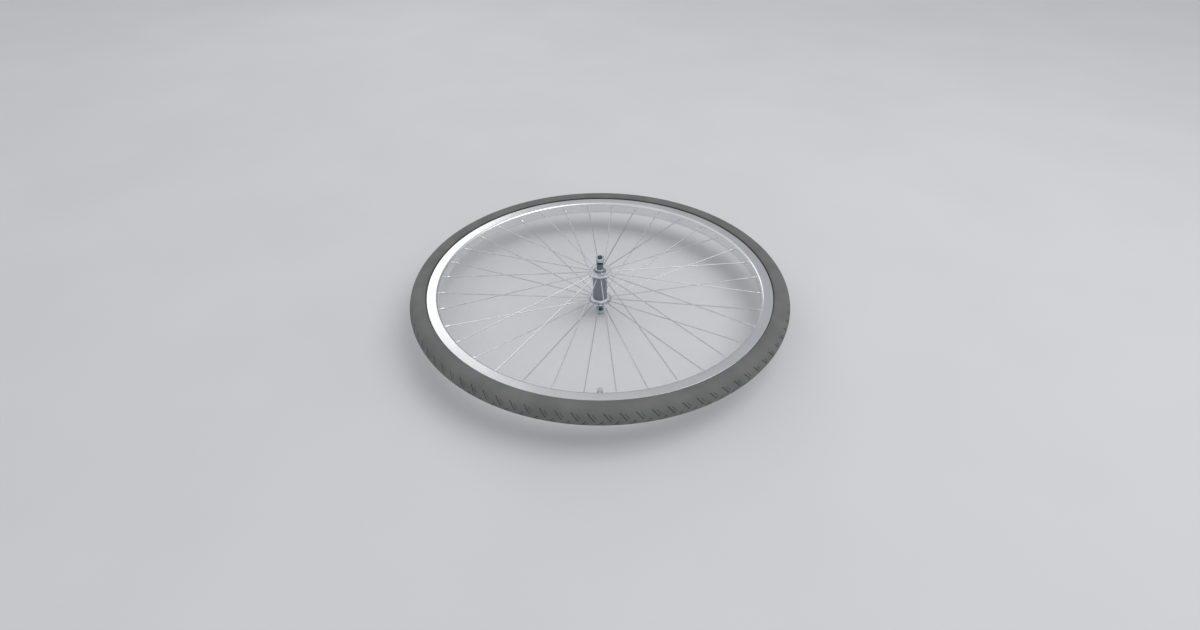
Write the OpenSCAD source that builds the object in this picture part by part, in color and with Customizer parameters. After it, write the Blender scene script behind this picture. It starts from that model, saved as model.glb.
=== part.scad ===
// Front bicycle wheel: pneumatic tyre on a double-wall rim, laced radially to a cup-and-cone hub.
// The wheel's axis is Z, its middle plane is XY and its centre is the origin.

/* [Tyre] */
// Width and height of the inflated tyre's section
tyre_w = 37; // [32:1:50]
// Thickness of the tyre's sidewall
sidewall_t = 2.2; // [1.5:0.1:3]
// Thickness of the tread at the crown
tread_t = 3.6; // [3:0.1:6]
// Number of lugs round each shoulder
lug_count = 90; // [60:2:120]
// Width of the groove between two lugs
lug_groove_w = 3; // [1.5:0.1:4]
// Depth of the grooves in the tread
groove_depth = 1.5; // [0.5:0.1:2]
// Wall of the inner tube
tube_t = 0.9; // [0.6:0.1:1.5]

/* [Rim] */
// Diameter of the rim where the tyre's beads sit
bead_seat_d = 622; // [500:1:650]
// Width over the rim's two lips
rim_w = 26; // [24:0.5:32]
// Height of the rim's section, from the spoke bed to the lips
rim_h = 20; // [18:0.5:30]
// Height of the lips over the bead seats
lip_h = 6; // [5:0.1:7]
// Thickness of the rim's lips
lip_t = 2.5; // [1.8:0.1:3]
// Thickness of the rim's side walls and bridge
rim_wall = 1.4; // [1:0.1:2]
// Thickness of the spoke bed
bed_t = 1.6; // [1.2:0.1:3]
// Radius of the corners beside the spoke bed
rim_corner_r = 4.2; // [3:0.1:6]
// Diameter of the hole for the valve
valve_hole_d = 8.5; // [8.2:0.1:9]
// Distance from the wheel's centre to the tip of the valve cap
valve_tip_r = 279; // [200:1:282]

/* [Spokes] */
// Number of spokes, half on each flange
spoke_count = 36; // [20:4:36]
// Diameter of a spoke
spoke_d = 2; // [1.8:0.1:2.3]
// Diameter of a spoke's head
spoke_head_d = 3.8; // [3.2:0.1:4.2]
// Radius of a spoke's bend, at its middle
bend_r = 2; // [1.6:0.1:2.5]
// Diameter of a nipple's body
nipple_d = 4; // [3.6:0.1:4.4]
// Length of a nipple's body below the rim
nipple_l = 10; // [8:0.5:14]

/* [Hub] */
// Distance between the middles of the flanges
flange_gap = 63; // [56:1:76]
// Diameter of the flanges
flange_d = 45.6; // [43:0.2:60]
// Thickness of the flanges
flange_t = 2.6; // [2:0.1:4]
// Diameter of the circle of spoke holes
spoke_circle_d = 38; // [36:0.5:52]
// Diameter of a spoke hole in a flange
spoke_hole_d = 2.4; // [2.3:0.1:2.8]
// Diameter of the hub shell
shell_d = 26.4; // [26:0.2:30]
// Radius of the fillets from the shell to the flanges
shell_fillet_r = 2.8; // [1:0.1:3]
// Diameter of the bearing cups, and of the recess outside them
cup_d = 24; // [22.5:0.1:24.4]
// Depth of the recess from the flange's face to the dust cap
recess_d = 2; // [1:0.1:4]

/* [Axle] */
// Diameter of the axle
axle_d = 9; // [8:0.5:9.5]
// Length of the axle
axle_l = 128.6; // [122:0.2:140]
// Diameter of the plain tip at each end of the axle
tip_d = 7.6; // [6:0.1:7.6]
// Width over the locknuts, which is the space between the fork ends
over_locknuts = 100; // [94:1:104]
// Thickness of fork end that the nuts leave room for
fork_end_t = 4.5; // [3:0.1:6]
// Size across the flats of the locknuts
locknut_af = 13; // [13:0.5:15]
// Thickness of the locknuts
locknut_t = 3.5; // [3:0.1:4.5]
// Size across the flats of the axle nuts
axle_nut_af = 15; // [13:0.5:17]
// Thickness of the washers under the axle nuts
washer_t = 1.3; // [1:0.1:2]

/* [Bearings] */
// Diameter of a bearing ball
ball_d = 4.76; // [4:0.01:5]
// Number of balls in each bearing
ball_count = 10; // [8:1:10]
// Diameter of the circle that the balls' centres lie on
ball_circle_d = 17.2; // [16.6:0.1:17.4]
// Diameter of the cones where the dust caps surround them
cone_d = 15; // [14:0.5:16]

/* [Hidden] */
$fn = 96;
run_gap = 0.05;          // between the balls and their races
press_gap = 0.02;        // round a pressed or screwed piece
seat_gap = 0.1;          // between the tyre's beads and the rim
dust_gap = 0.5;          // between a dust cap and its cone

bead_seat_r = bead_seat_d / 2;
rim_r = bead_seat_r + lip_h;
bed_r = rim_r - rim_h;
rim_lean = 1;            // how far each side wall leans in towards the spoke bed
well_depth = 4;          // from the bead seats down to the well's floor
well_half_w = 6;
seat_half_w = 7.5;
channel_half_w = rim_w / 2 - lip_t;
hook_w = 0.6;            // how far each lip's hook leans over the channel
hook_h = 1.8;            // height of the hook
bridge_r = bead_seat_r - well_depth - rim_wall;

tyre_r = bead_seat_r + tyre_w;
section_r = tyre_w / 2;
section_at = tyre_r - section_r;
cavity_r = section_r - sidewall_t;
cavity_at = tyre_r - tread_t - cavity_r;
bead_t = 3;
groove_l = 15;           // length of a lug groove across the shoulder
groove_slant = 38;       // angle of a lug groove to the wheel's axis
groove_lat = 22;         // how far round the section the middle of a lug groove lies, in degrees

spoke_step = 360 / spoke_count;
first_spoke = -90 + spoke_step / 2;
spoke_hole_at = spoke_circle_d / 2;
flange_z = flange_gap / 2;
flange_face = flange_z + flange_t / 2;
elbow_z = flange_z - flange_t / 2 - 0.2;
elbow_x = spoke_hole_at + bend_r;
elbow_to_rim = norm([bed_r - elbow_x, elbow_z]);
spoke_lean = atan2(elbow_z, bed_r - elbow_x) - asin(bend_r / elbow_to_rim);
spoke_straight = sqrt(elbow_to_rim ^ 2 - bend_r ^ 2);
nipple_head_d = 5.8;
nipple_head_t = 1.8;
nipple_seat = bed_t / cos(spoke_lean) + nipple_head_d / 2 * tan(spoke_lean) + 0.02;
bed_hole_d = nipple_d + 0.4;
bridge_hole_d = nipple_head_d + 1.4;

spacer_r = 6.2;
ball_r = ball_d / 2;
race_r = ball_r + run_gap;
ball_at = ball_circle_d / 2;
dust_cap_t = 0.7;
cup_top_z = flange_face - recess_d - dust_cap_t;
ball_z = cup_top_z - ball_r - 0.4;
cup_seat_z = ball_z - race_r - 1.2;
cup_r = cup_d / 2;
cone_end_z = flange_face + 5.2;
locknut_z = over_locknuts / 2 - locknut_t;
washer_z = over_locknuts / 2 + fork_end_t;
tip_l = 2.7;
nut_z = washer_z + washer_t;
nut_top_z = axle_l / 2 - tip_l - 0.1;

tube_r = cavity_r - 1.6;
tube_at = cavity_at + 1.2;
tube_floor_r = bead_seat_r - well_depth + 0.9;
tube_leg_w = well_half_w - 0.7;
tape_t = 0.6;
valve_d = 7.8;
valve_angle = -90;
cap_t = 1.2;

function pad(i) = str(i < 10 ? "0" : "", i);
function spoke_name(i) = str("spoke_", pad(i));
function spoke_angle(i) = first_spoke + (i - 1) * spoke_step;
function on_top(i) = i % 2 == 1;
// Half width of a circle of radius r centred at distance c, where it crosses distance x from the wheel's axis
function half_w(r, c, x) = sqrt(r ^ 2 - (x - c) ^ 2);

// Repeats its children on the lower side of the wheel
module both_sides() {
    children();
    mirror([0, 0, 1]) children();
}

module bottom_side() {
    mirror([0, 0, 1]) children();
}

// A flat ring from z0 to z1
module ring(r_out, r_in, z0, z1) {
    translate([0, 0, z0]) difference() {
        cylinder(r = r_out, h = z1 - z0);
        translate([0, 0, -1]) cylinder(r = r_in, h = z1 - z0 + 2);
    }
}

// A hexagonal nut from z0 to z1, chamfered on both faces
module hex_nut(af, bore_d, z0, z1) {
    h = z1 - z0;
    chamfer = af * 0.06;
    translate([0, 0, z0]) difference() {
        intersection() {
            rotate([0, 0, 30]) cylinder(d = af / cos(30), h = h, $fn = 6);
            rotate_extrude() polygon([
                [0, 0], [af * 0.51, 0], [af * 0.51 + chamfer * 1.4, chamfer],
                [af * 0.51 + chamfer * 1.4, h - chamfer], [af * 0.51, h], [0, h]]);
        }
        translate([0, 0, -1]) cylinder(d = bore_d, h = h + 2);
    }
}

// ---- axle and what is screwed on it ----

module axle() {
    body_z = axle_l / 2 - tip_l;
    chamfer = 0.4;
    color("slategray") rotate_extrude() polygon([
        [0, -axle_l / 2], [tip_d / 2 - chamfer, -axle_l / 2], [tip_d / 2, -axle_l / 2 + chamfer],
        [tip_d / 2, -body_z], [axle_d / 2, -body_z], [axle_d / 2, body_z], [tip_d / 2, body_z],
        [tip_d / 2, axle_l / 2 - chamfer], [tip_d / 2 - chamfer, axle_l / 2], [0, axle_l / 2]]);
}

// The cone screws on the axle from outside. Its race faces the balls, and two flats take a spanner.
module cone() {
    neck_r = ball_at - race_r - 0.07;
    flats_w = cone_d - 2;
    color("silver") difference() {
        rotate_extrude() difference() {
            translate([axle_d / 2 + press_gap, ball_z - 1.9])
                square([cone_d / 2 - axle_d / 2 - press_gap, cone_end_z - ball_z + 1.9]);
            translate([ball_at, ball_z]) circle(race_r);
            translate([neck_r, ball_z - 3]) square([cone_d, 3]);
        }
        for (side = [-1, 1])
            translate([side * (flats_w / 2 + 5), 0, cone_end_z])
                cube([10, cone_d + 2, 5], center = true);
    }
}

module spacer() {
    color("silver") ring(spacer_r, axle_d / 2 + press_gap, cone_end_z, locknut_z);
}

module locknut() {
    color("silver") hex_nut(locknut_af, axle_d + 2 * press_gap, locknut_z, over_locknuts / 2);
}

module nut_washers() {
    color("silver") both_sides()
        ring(axle_nut_af / 2 + 0.6, axle_d / 2 + press_gap, washer_z, nut_z);
}

module axle_nuts() {
    color("darkgray") both_sides() hex_nut(axle_nut_af, axle_d + 2 * press_gap, nut_z, nut_top_z);
}

// ---- bearings ----

module balls() {
    color("gainsboro") for (i = [0:ball_count - 1])
        rotate([0, 0, i * 360 / ball_count]) translate([ball_at, 0, ball_z]) sphere(ball_r);
}

// A cup is pressed into each end of the shell. Its race carries the balls from outside and below.
module cup() {
    lip_r = ball_at + race_r + 0.07;
    color("silver") rotate_extrude() difference() {
        translate([ball_at - 1.6, cup_seat_z])
            square([cup_r - press_gap - ball_at + 1.6, cup_top_z - cup_seat_z]);
        translate([ball_at, ball_z]) circle(race_r);
        translate([0, ball_z]) square([lip_r, cup_top_z]);
    }
}

// A thin disc closes the bearing round its cone, with a turned-up lip at its hole
module dust_cap() {
    hole_r = cone_d / 2 + dust_gap;
    lip_t = 0.6;
    lip_h = 1.2;
    color("lightgray") rotate_extrude() {
        translate([hole_r, cup_top_z]) square([cup_r - press_gap - hole_r, dust_cap_t]);
        translate([hole_r, cup_top_z]) square([lip_t, dust_cap_t + lip_h]);
    }
}

// ---- hub shell ----

module fillet_2d(r) {
    difference() {
        square(r);
        translate([r, r]) circle(r);
    }
}

module shell_half_2d() {
    square([shell_d / 2, flange_face]);
    translate([0, flange_z - flange_t / 2]) square([flange_d / 2 - 0.5, flange_t]);
    translate([0, flange_z - flange_t / 2 + 0.5]) square([flange_d / 2, flange_t - 1]);
    translate([shell_d / 2, flange_z - flange_t / 2]) mirror([0, 1]) fillet_2d(shell_fillet_r);
}

module hub_shell() {
    hollow_r = cup_r - 1.4;
    color("lightsteelblue") difference() {
        rotate_extrude() difference() {
            union() {
                shell_half_2d();
                mirror([0, 1]) shell_half_2d();
            }
            square([2 * hollow_r, 2 * flange_face + 2], center = true);
            translate([0, cup_seat_z]) square([cup_r, flange_face]);
            mirror([0, 1]) translate([0, cup_seat_z]) square([cup_r, flange_face]);
        }
        for (i = [1:spoke_count])
            rotate([0, 0, spoke_angle(i)])
                translate([spoke_hole_at, 0, (on_top(i) ? 1 : -1) * flange_z])
                    cylinder(d = spoke_hole_d, h = flange_t + 2, center = true);
    }
}

// ---- spokes and nipples ----

// Turns a shape that points up from the origin into one that leaves the rim's bed at spoke i, outwards
module at_rim(i) {
    rotate([0, 0, spoke_angle(i)]) mirror([0, 0, on_top(i) ? 0 : 1])
        translate([bed_r, 0, 0]) rotate([0, 90 + spoke_lean, 0]) children();
}

// A spoke hooks through its flange from outside, bends, and runs straight into its nipple.
// It is a little thicker at its bend, and its straight stretches start inside that.
module spoke(i) {
    in_nipple = nipple_seat + 0.6;
    swell = 0.06;
    inside = 0.1;
    color("lightgray") union() {
        at_rim(i) translate([0, 0, -spoke_straight - inside])
            cylinder(d = spoke_d, h = spoke_straight + inside + in_nipple);
        rotate([0, 0, spoke_angle(i)]) mirror([0, 0, on_top(i) ? 0 : 1]) {
            translate([elbow_x, 0, elbow_z]) rotate([90, 0, 0]) rotate([0, 0, 180])
                rotate_extrude(angle = 90 - spoke_lean) translate([bend_r, 0]) circle(d = spoke_d + swell);
            translate([spoke_hole_at, 0, elbow_z - inside])
                cylinder(d = spoke_d, h = flange_face - elbow_z + inside);
            translate([spoke_hole_at, 0, flange_face])
                cylinder(d1 = spoke_head_d, d2 = spoke_head_d * 0.75, h = 0.9);
        }
    }
}

// A nipple pulls its spoke from inside the rim. Its lower end has four flats, and its head a slot.
module nipple() {
    flats_w = nipple_d - 0.7;
    flats_l = nipple_l - 2.5;
    head_end = nipple_seat + nipple_head_t;
    difference() {
        union() {
            translate([0, 0, -nipple_l]) intersection() {
                cylinder(d = nipple_d, h = flats_l + 1);
                translate([-flats_w / 2, -flats_w / 2, 0]) cube([flats_w, flats_w, flats_l + 1]);
            }
            translate([0, 0, flats_l - nipple_l]) cylinder(d = nipple_d, h = head_end - flats_l + nipple_l);
            translate([0, 0, nipple_seat]) cylinder(d = nipple_head_d, h = nipple_head_t);
        }
        translate([0, 0, -nipple_l - 1]) cylinder(d = spoke_d + 2 * press_gap, h = nipple_l + head_end + 2);
        translate([-nipple_head_d, -0.4, head_end - 0.7]) cube([2 * nipple_head_d, 0.8, 2]);
    }
}

module nipples() {
    color("whitesmoke") for (i = [1:spoke_count]) at_rim(i) nipple();
}

// ---- rim ----

// The rim's outline: leaning side walls over round corners beside the flat spoke bed
module rim_outline_2d() {
    corner_z = rim_w / 2 - rim_lean - rim_corner_r;
    polygon([
        [rim_r, rim_w / 2], [bed_r + rim_corner_r, rim_w / 2 - rim_lean],
        [bed_r + rim_corner_r, rim_lean - rim_w / 2], [rim_r, -rim_w / 2]]);
    translate([bed_r, -corner_z]) square([rim_corner_r + 1, 2 * corner_z]);
    for (side = [-1, 1]) translate([bed_r + rim_corner_r, side * corner_z]) circle(rim_corner_r);
}

// The open channel that holds the tyre: a well, two bead seats, and lips that hook over the beads
module channel_2d() {
    well_r = bead_seat_r - well_depth;
    points = [
        [well_r, well_half_w], [bead_seat_r, seat_half_w], [bead_seat_r, channel_half_w],
        [rim_r - hook_h, channel_half_w], [rim_r - hook_h + hook_w, channel_half_w - hook_w],
        [rim_r + 1, channel_half_w - hook_w]];
    polygon(concat(points, [for (i = [len(points) - 1:-1:0]) [points[i][0], -points[i][1]]]));
}

// The closed hollow between the spoke bed and the bridge under the channel
module hollow_2d() {
    side_z = rim_w / 2 - rim_lean - rim_wall;
    shelf_r = bead_seat_r - rim_wall - 0.4;
    points = [
        [bed_r + bed_t, side_z - 3.6], [bed_r + rim_corner_r, side_z - 0.2],
        [shelf_r, side_z + 0.4], [shelf_r, seat_half_w + rim_wall],
        [bridge_r, well_half_w + rim_wall]];
    polygon(concat(points, [for (i = [len(points) - 1:-1:0]) [points[i][0], -points[i][1]]]));
}

module valve_hole() {
    rotate([0, 0, valve_angle]) translate([bed_r - 5, 0, 0]) rotate([0, 90, 0])
        cylinder(d = valve_hole_d, h = bead_seat_r - bed_r + 5);
}

module rim() {
    color("silver") difference() {
        rotate_extrude() difference() {
            rim_outline_2d();
            channel_2d();
            hollow_2d();
        }
        for (i = [1:spoke_count]) at_rim(i) {
            translate([0, 0, -2]) cylinder(d = bed_hole_d, h = bed_t + 4);
            translate([0, 0, bridge_r - bed_r - 1.5]) cylinder(d = bridge_hole_d, h = 5);
        }
        valve_hole();
    }
}

// A band over the well's floor keeps the holes' edges off the inner tube
module rim_tape() {
    color("beige") difference() {
        ring(bead_seat_r - well_depth + press_gap + tape_t, bead_seat_r - well_depth + press_gap,
             0.3 - well_half_w, well_half_w - 0.3);
        valve_hole();
    }
}

// ---- tyre, inner tube and valve ----

module tube_2d(inset) {
    translate([tube_at, 0]) circle(tube_r - inset);
    translate([tube_floor_r + inset, inset - tube_leg_w])
        square([tube_at - tube_floor_r - inset, 2 * (tube_leg_w - inset)]);
}

module inner_tube() {
    color("dimgray") difference() {
        rotate_extrude() difference() {
            tube_2d(0);
            tube_2d(tube_t);
        }
        rotate([0, 0, valve_angle]) translate([tube_floor_r - 2, 0, 0]) rotate([0, 90, 0])
            cylinder(d = valve_d + 2 * press_gap, h = 6);
    }
}

// The space inside the tyre: round above the lips, then narrowing between the beads
module cavity_2d() {
    joins_at = rim_r + 4.5;
    joins_w = half_w(cavity_r, cavity_at, joins_at) - 0.5;
    mouth_w = channel_half_w - hook_w - bead_t;
    points = [
        [joins_at + 1, joins_w], [rim_r + 2.5, channel_half_w + 1], [rim_r - 1, mouth_w],
        [bead_seat_r - 1, mouth_w]];
    difference() {
        translate([cavity_at, 0]) circle(cavity_r);
        translate([0, -tyre_w]) square([joins_at, 2 * tyre_w]);
    }
    polygon(concat(points, [for (i = [len(points) - 1:-1:0]) [points[i][0], -points[i][1]]]));
}

// The tyre's walls bulge over the rim's lips, and its beads pass inside them and swell under the hooks
module tyre_section_2d() {
    over_lip = rim_r + 0.5;
    neck_w = channel_half_w - hook_w - seat_gap;
    swell_w = channel_half_w - seat_gap;
    difference() {
        union() {
            difference() {
                translate([section_at, 0]) circle(section_r);
                translate([0, -tyre_w]) square([over_lip, 2 * tyre_w]);
            }
            translate([bead_seat_r + seat_gap, -neck_w]) square([lip_h + 4, 2 * neck_w]);
            translate([bead_seat_r + seat_gap, -swell_w])
                square([lip_h - hook_h - 3 * seat_gap, 2 * swell_w]);
        }
        cavity_2d();
    }
}

// A slanted groove across the upper shoulder, which reaches the crown at its lower end
module lug_groove() {
    translate([section_at, 0, 0]) rotate([0, -groove_lat, 0])
        translate([section_r - groove_depth, 0, 0]) rotate([groove_slant, 0, 0])
            translate([0, -lug_groove_w / 2, -groove_l / 2]) cube([8, lug_groove_w, groove_l]);
}

module tyre() {
    pitch = 360 / lug_count;
    color("dimgray") difference() {
        rotate_extrude() tyre_section_2d();
        for (i = [0:lug_count - 1]) {
            rotate([0, 0, i * pitch]) lug_groove();
            rotate([0, 0, (i + 0.5) * pitch]) mirror([0, 0, 1]) lug_groove();
        }
    }
}

// Turns a shape that points up from the wheel's centre into one that points at the valve
module at_valve() {
    rotate([0, 0, valve_angle]) rotate([0, 90, 0]) children();
}

module valve_stem() {
    stem_end = valve_tip_r + cap_t + 0.3;
    color("goldenrod") at_valve() difference() {
        union() {
            translate([0, 0, stem_end]) cylinder(d = valve_d, h = tube_floor_r + tube_t - stem_end + 0.5);
            translate([0, 0, tube_floor_r + tube_t + 0.1]) cylinder(d = valve_d + 0.8, h = 1.2);
        }
        translate([0, 0, stem_end - 1]) cylinder(d = 5, h = tube_floor_r - stem_end + 5);
    }
}

module valve_nut() {
    color("silver") at_valve()
        ring(6.5, valve_d / 2 + press_gap, bed_r - 3.1, bed_r - 0.1);
}

module valve_cap() {
    color("dimgray") at_valve() difference() {
        translate([0, 0, valve_tip_r]) cylinder(d = valve_d + 1.8, h = 9);
        translate([0, 0, valve_tip_r + cap_t]) cylinder(d = valve_d + 2 * press_gap, h = 9);
    }
}

axle();
cone();  // cone_top
bottom_side() cone();  // cone_bottom
spacer();  // spacer_top
bottom_side() spacer();  // spacer_bottom
locknut();  // locknut_top
bottom_side() locknut();  // locknut_bottom
nut_washers();
axle_nuts();
balls();  // balls_top
bottom_side() balls();  // balls_bottom
hub_shell();
cup();  // cup_top
bottom_side() cup();  // cup_bottom
dust_cap();  // dust_cap_top
bottom_side() dust_cap();  // dust_cap_bottom
rim();
rim_tape();
inner_tube();
tyre();
valve_stem();
valve_nut();
valve_cap();
nipples();
for (i = [1:spoke_count]) spoke(i);
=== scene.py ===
# %% [markdown]
# # A bicycle wheel, from the frame outwards
# The wheel lies flat with its axle upright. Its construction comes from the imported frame, which holds every
# piece at its real size. This lesson gives each piece the surface of the real one: turned, drawn and pressed
# metal, and moulded rubber. Everything is in metres, so a small factor turns millimetres into metres.

# %% Load the frame
from math import asin, atan2, ceil, cos, degrees, pi, radians, sin, sqrt, tan, tau

import bmesh
import bpy
from mathutils import Matrix, Vector


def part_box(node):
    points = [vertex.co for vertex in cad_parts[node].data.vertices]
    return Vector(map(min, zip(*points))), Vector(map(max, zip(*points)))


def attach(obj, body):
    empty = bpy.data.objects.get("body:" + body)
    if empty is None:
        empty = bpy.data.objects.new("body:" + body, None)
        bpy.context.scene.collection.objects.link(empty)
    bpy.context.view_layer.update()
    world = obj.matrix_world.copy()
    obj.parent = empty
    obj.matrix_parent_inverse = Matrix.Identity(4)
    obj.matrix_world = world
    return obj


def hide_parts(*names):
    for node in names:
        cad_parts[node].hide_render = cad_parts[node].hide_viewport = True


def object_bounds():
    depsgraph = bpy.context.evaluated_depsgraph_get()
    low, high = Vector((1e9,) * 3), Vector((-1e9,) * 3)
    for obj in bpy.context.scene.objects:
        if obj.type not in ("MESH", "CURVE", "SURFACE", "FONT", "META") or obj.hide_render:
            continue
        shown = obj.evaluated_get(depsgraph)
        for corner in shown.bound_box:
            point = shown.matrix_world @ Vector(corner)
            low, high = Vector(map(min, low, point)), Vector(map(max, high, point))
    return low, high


MM = 0.001
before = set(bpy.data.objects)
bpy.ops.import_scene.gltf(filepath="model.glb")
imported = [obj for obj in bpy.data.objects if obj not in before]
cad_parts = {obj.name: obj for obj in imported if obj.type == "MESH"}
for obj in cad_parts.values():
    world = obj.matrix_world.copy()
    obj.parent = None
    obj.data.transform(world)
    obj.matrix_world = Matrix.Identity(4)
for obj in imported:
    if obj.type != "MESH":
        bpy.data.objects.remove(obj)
cad_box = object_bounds()
print("nodes:", len(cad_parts))


def reach(node):
    """Largest distance of a node from the wheel's axis, in millimetres."""
    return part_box(node)[1].x / MM


def top(node):
    """Highest point of a node, in millimetres."""
    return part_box(node)[1].z / MM


def floor_of(node):
    """Lowest point of a node, in millimetres."""
    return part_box(node)[0].z / MM


# %% [markdown]
# ## Camera
# The camera stands over the near side of the wheel and looks down at its centre. A short lens close by gives the
# near side of the tyre its larger look. A small shift lifts the wheel a little above the middle of the picture.

# %% Camera
CAMERA_DISTANCE = 1.291
CAMERA_ELEVATION = radians(35.2)

camera_data = bpy.data.cameras.new("camera")
camera_data.lens = 20.64
camera_data.sensor_width = 36
camera_data.shift_y = -0.025
camera = bpy.data.objects.new("camera", camera_data)
camera.location = (0, -CAMERA_DISTANCE * cos(CAMERA_ELEVATION), CAMERA_DISTANCE * sin(CAMERA_ELEVATION))
camera.rotation_euler = (pi / 2 - CAMERA_ELEVATION, 0, 0)
bpy.context.scene.collection.objects.link(camera)
bpy.context.scene.camera = camera
bpy.context.scene.view_settings.view_transform = "Standard"
print("camera at", [round(x, 3) for x in camera.location])

# %% [markdown]
# ## Light
# Polished metal shows what is round it, so the room matters more than the lamps. The world is a pale grey that
# gets darker low down behind the wheel, and more so to the right: the flat side of the rim mirrors that part of
# the room. One large soft box stands behind on the left, where the rim mirrors it too, and another hangs overhead
# and lights the rubber.


# %% World and lamps
def soft_box(name, place, size, power):
    """A square lamp that faces the wheel."""
    data = bpy.data.lights.new(name, "AREA")
    data.shape = "SQUARE"
    data.size = size
    data.energy = power
    lamp = bpy.data.objects.new(name, data)
    lamp.location = place
    lamp.rotation_euler = (-Vector(place)).to_track_quat("-Z", "Y").to_euler()
    bpy.context.scene.collection.objects.link(lamp)
    return lamp


soft_box("soft_box_left", (-1.00, 2.42, 1.40), 1.0, 3.6)
soft_box("soft_box_above", (1.3, -0.2, 2.5), 2.0, 21)

world = bpy.data.worlds.new("studio")
world.use_nodes = True
bpy.context.scene.world = world
world_nodes = world.node_tree.nodes
world_links = world.node_tree.links
direction = world_nodes.new("ShaderNodeTexCoord")
towards_dark = world_nodes.new("ShaderNodeVectorMath")
towards_dark.operation = "DOT_PRODUCT"
towards_dark.inputs[1].default_value = (0.39, 1, 0)
world_ramp = world_nodes.new("ShaderNodeValToRGB")
world_ramp.color_ramp.elements[0].position = 0.66
world_ramp.color_ramp.elements[0].color = (0.66, 0.67, 0.69, 1)
world_ramp.color_ramp.elements[1].position = 0.94
world_ramp.color_ramp.elements[1].color = (0.31, 0.32, 0.34, 1)
world_links.new(direction.outputs["Generated"], towards_dark.inputs[0])
world_links.new(towards_dark.outputs["Value"], world_ramp.inputs[0])
world_links.new(world_ramp.outputs[0], world_nodes["Background"].inputs["Color"])
world_nodes["Background"].inputs["Strength"].default_value = 1.0

# %% [markdown]
# ## Finishes
# Each finish is one Principled shader, with its steady values set on the shader itself. What varies over the
# surface comes from noise or rings in Object coordinates, which are in metres, so a scale of 1000 means
# a pattern about a millimetre across. Turned metal gets fine rings round the axle, drawn wire gets a fine grain,
# and rubber gets a soft bloom of two greys.


# %% Helpers for finishes
def shader(name, metallic, roughness, specular=0.5):
    """A new material with its steady values set."""
    material = bpy.data.materials.new(name)
    material.use_nodes = True
    principled = material.node_tree.nodes["Principled BSDF"]
    principled.inputs["Metallic"].default_value = metallic
    principled.inputs["Roughness"].default_value = roughness
    principled.inputs["Specular IOR Level"].default_value = specular
    return material, principled


def noise(material, scale, detail=3.0, stretch=(1, 1, 1)):
    """A noise pattern on the piece's own coordinates."""
    nodes, links = material.node_tree.nodes, material.node_tree.links
    place = nodes.new("ShaderNodeTexCoord")
    mapping = nodes.new("ShaderNodeMapping")
    mapping.inputs["Scale"].default_value = stretch
    pattern = nodes.new("ShaderNodeTexNoise")
    pattern.inputs["Scale"].default_value = scale
    pattern.inputs["Detail"].default_value = detail
    links.new(place.outputs["Object"], mapping.inputs["Vector"])
    links.new(mapping.outputs[0], pattern.inputs["Vector"])
    return pattern.outputs["Fac"]


def rings(material, pitch):
    """Concentric rings round the axle, this many metres apart, broken up a little."""
    nodes, links = material.node_tree.nodes, material.node_tree.links
    place = nodes.new("ShaderNodeTexCoord")
    wave = nodes.new("ShaderNodeTexWave")
    wave.wave_type = "RINGS"
    wave.rings_direction = "Z"
    wave.inputs["Scale"].default_value = 0.31 / pitch
    wave.inputs["Distortion"].default_value = 1.5
    wave.inputs["Detail"].default_value = 2.0
    wave.inputs["Detail Scale"].default_value = 0.6
    links.new(place.outputs["Object"], wave.inputs["Vector"])
    return wave.outputs["Fac"]


def two_tone(material, pattern, dark, light, low=0.35, high=0.65):
    """Colours the surface between two near colours."""
    nodes, links = material.node_tree.nodes, material.node_tree.links
    ramp = nodes.new("ShaderNodeValToRGB")
    ramp.color_ramp.elements[0].position = low
    ramp.color_ramp.elements[0].color = (*dark, 1)
    ramp.color_ramp.elements[1].position = high
    ramp.color_ramp.elements[1].color = (*light, 1)
    links.new(pattern, ramp.inputs[0])
    links.new(ramp.outputs[0], nodes["Principled BSDF"].inputs["Base Color"])


def vary_roughness(material, pattern, low, high):
    """Lets the gloss change between two values."""
    nodes, links = material.node_tree.nodes, material.node_tree.links
    spread = nodes.new("ShaderNodeMapRange")
    spread.inputs["To Min"].default_value = low
    spread.inputs["To Max"].default_value = high
    links.new(pattern, spread.inputs["Value"])
    links.new(spread.outputs[0], nodes["Principled BSDF"].inputs["Roughness"])


def raise_surface(material, pattern, height, strength=0.5):
    """Bump of this height in metres."""
    nodes, links = material.node_tree.nodes, material.node_tree.links
    bump = nodes.new("ShaderNodeBump")
    bump.inputs["Strength"].default_value = strength
    bump.inputs["Distance"].default_value = height
    earlier = nodes["Principled BSDF"].inputs["Normal"].links
    if earlier:
        links.new(earlier[0].from_socket, bump.inputs["Normal"])
    links.new(pattern, bump.inputs["Height"])
    links.new(bump.outputs[0], nodes["Principled BSDF"].inputs["Normal"])


def paint_shade_inside(material, dark_r, light_r):
    """Paints shade into the colour within a radius about the axle, and fades it out at a larger one."""
    nodes, links = material.node_tree.nodes, material.node_tree.links
    place = nodes.new("ShaderNodeTexCoord")
    flat = nodes.new("ShaderNodeVectorMath")
    flat.operation = "MULTIPLY"
    flat.inputs[1].default_value = (1, 1, 0)
    length = nodes.new("ShaderNodeVectorMath")
    length.operation = "LENGTH"
    spread = nodes.new("ShaderNodeMapRange")
    spread.inputs["From Min"].default_value = dark_r
    spread.inputs["From Max"].default_value = light_r
    spread.inputs["To Min"].default_value = 0.2
    shade = nodes.new("ShaderNodeVectorMath")
    shade.operation = "SCALE"
    colour = nodes["Principled BSDF"].inputs["Base Color"]
    links.new(place.outputs["Object"], flat.inputs[0])
    links.new(flat.outputs[0], length.inputs[0])
    links.new(length.outputs["Value"], spread.inputs["Value"])
    links.new(colour.links[0].from_socket, shade.inputs[0])
    links.new(spread.outputs[0], shade.inputs["Scale"])
    links.new(shade.outputs[0], colour)


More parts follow.
